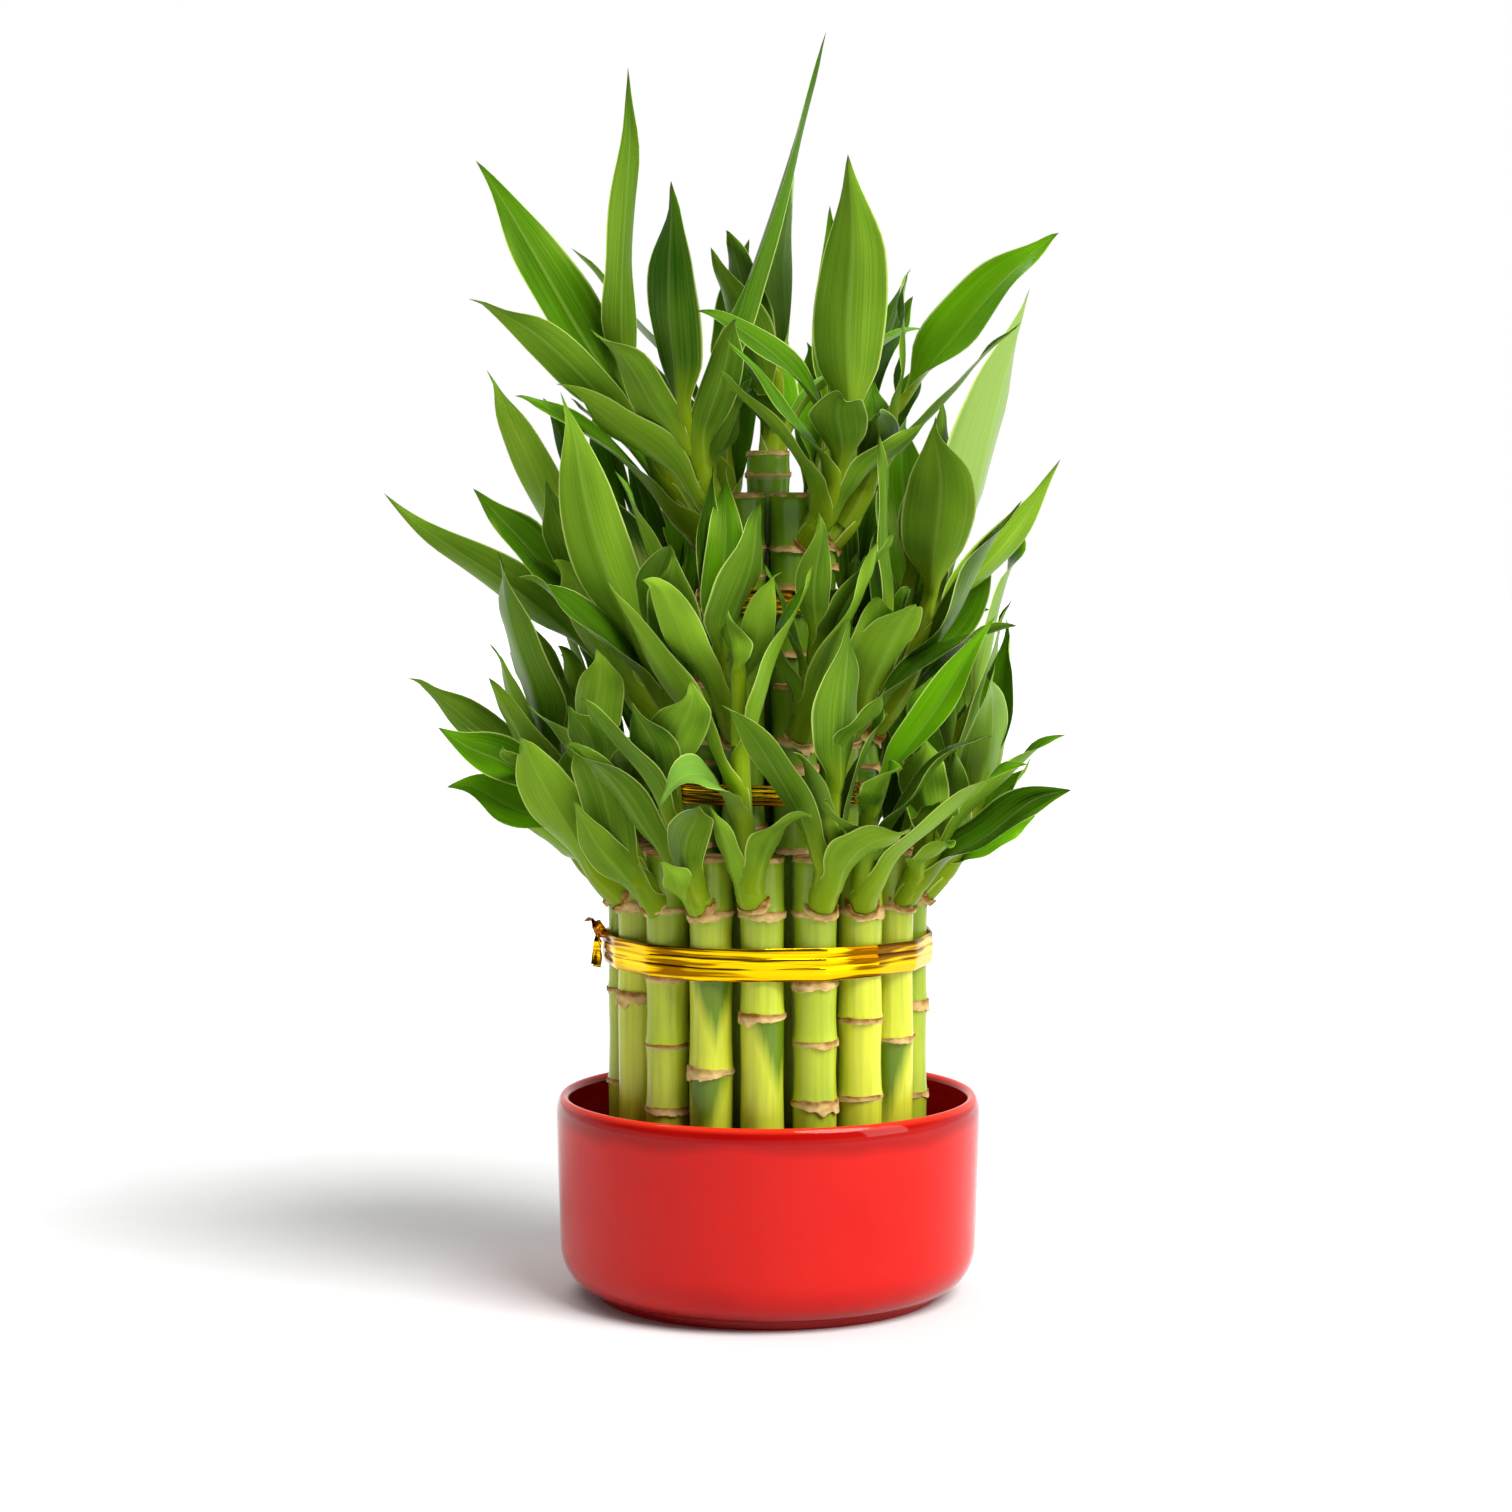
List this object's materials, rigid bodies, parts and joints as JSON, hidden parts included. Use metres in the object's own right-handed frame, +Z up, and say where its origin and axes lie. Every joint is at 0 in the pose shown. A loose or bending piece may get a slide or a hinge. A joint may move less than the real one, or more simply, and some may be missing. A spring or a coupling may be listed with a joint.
{
  "type": "lucky bamboo plant",
  "caption": "Lucky bamboo: tiers of cut canes with leafy shoots, tied into a bundle with gold ribbon and standing in water in a low, glossy red round bowl.",
  "frame": {"origin": "centre of the bowl's flat foot, on the surface that it stands on", "axes": "+Z up along the canes, -Y towards the side seen in the picture, +X to that side's right"},
  "size_m": [0.1762, 0.156, 0.33],
  "materials": {
    "glaze": "gloss",
    "water": "clear, still",
    "leafy_cane": "satin, waxy",
    "gold_ribbon": "metallised gold film"
  },
  "bodies": {
    "root": {"bowl": "glaze", "water": "water", "outer_cane_01": "leafy_cane", "outer_cane_02": "leafy_cane", "outer_cane_03": "leafy_cane", "outer_cane_04": "leafy_cane", "outer_cane_05": "leafy_cane", "outer_cane_06": "leafy_cane", "outer_cane_07": "leafy_cane", "outer_cane_08": "leafy_cane", "outer_cane_09": "leafy_cane", "outer_cane_10": "leafy_cane", "outer_cane_11": "leafy_cane", "outer_cane_12": "leafy_cane", "outer_cane_13": "leafy_cane", "outer_cane_14": "leafy_cane", "outer_cane_15": "leafy_cane", "outer_cane_16": "leafy_cane", "outer_cane_17": "leafy_cane", "middle_cane_01": "leafy_cane", "middle_cane_02": "leafy_cane", "middle_cane_03": "leafy_cane", "middle_cane_04": "leafy_cane", "middle_cane_05": "leafy_cane", "middle_cane_06": "leafy_cane", "middle_cane_07": "leafy_cane", "middle_cane_08": "leafy_cane", "middle_cane_09": "leafy_cane", "middle_cane_10": "leafy_cane", "middle_cane_11": "leafy_cane", "inner_cane_01": "leafy_cane", "inner_cane_02": "leafy_cane", "inner_cane_03": "leafy_cane", "inner_cane_04": "leafy_cane", "inner_cane_05": "leafy_cane", "inner_cane_06": "leafy_cane", "centre_cane_01": "leafy_cane", "lower_tie": "gold_ribbon", "middle_tie": "gold_ribbon", "upper_tie": "gold_ribbon"}
  },
  "joints": []
}
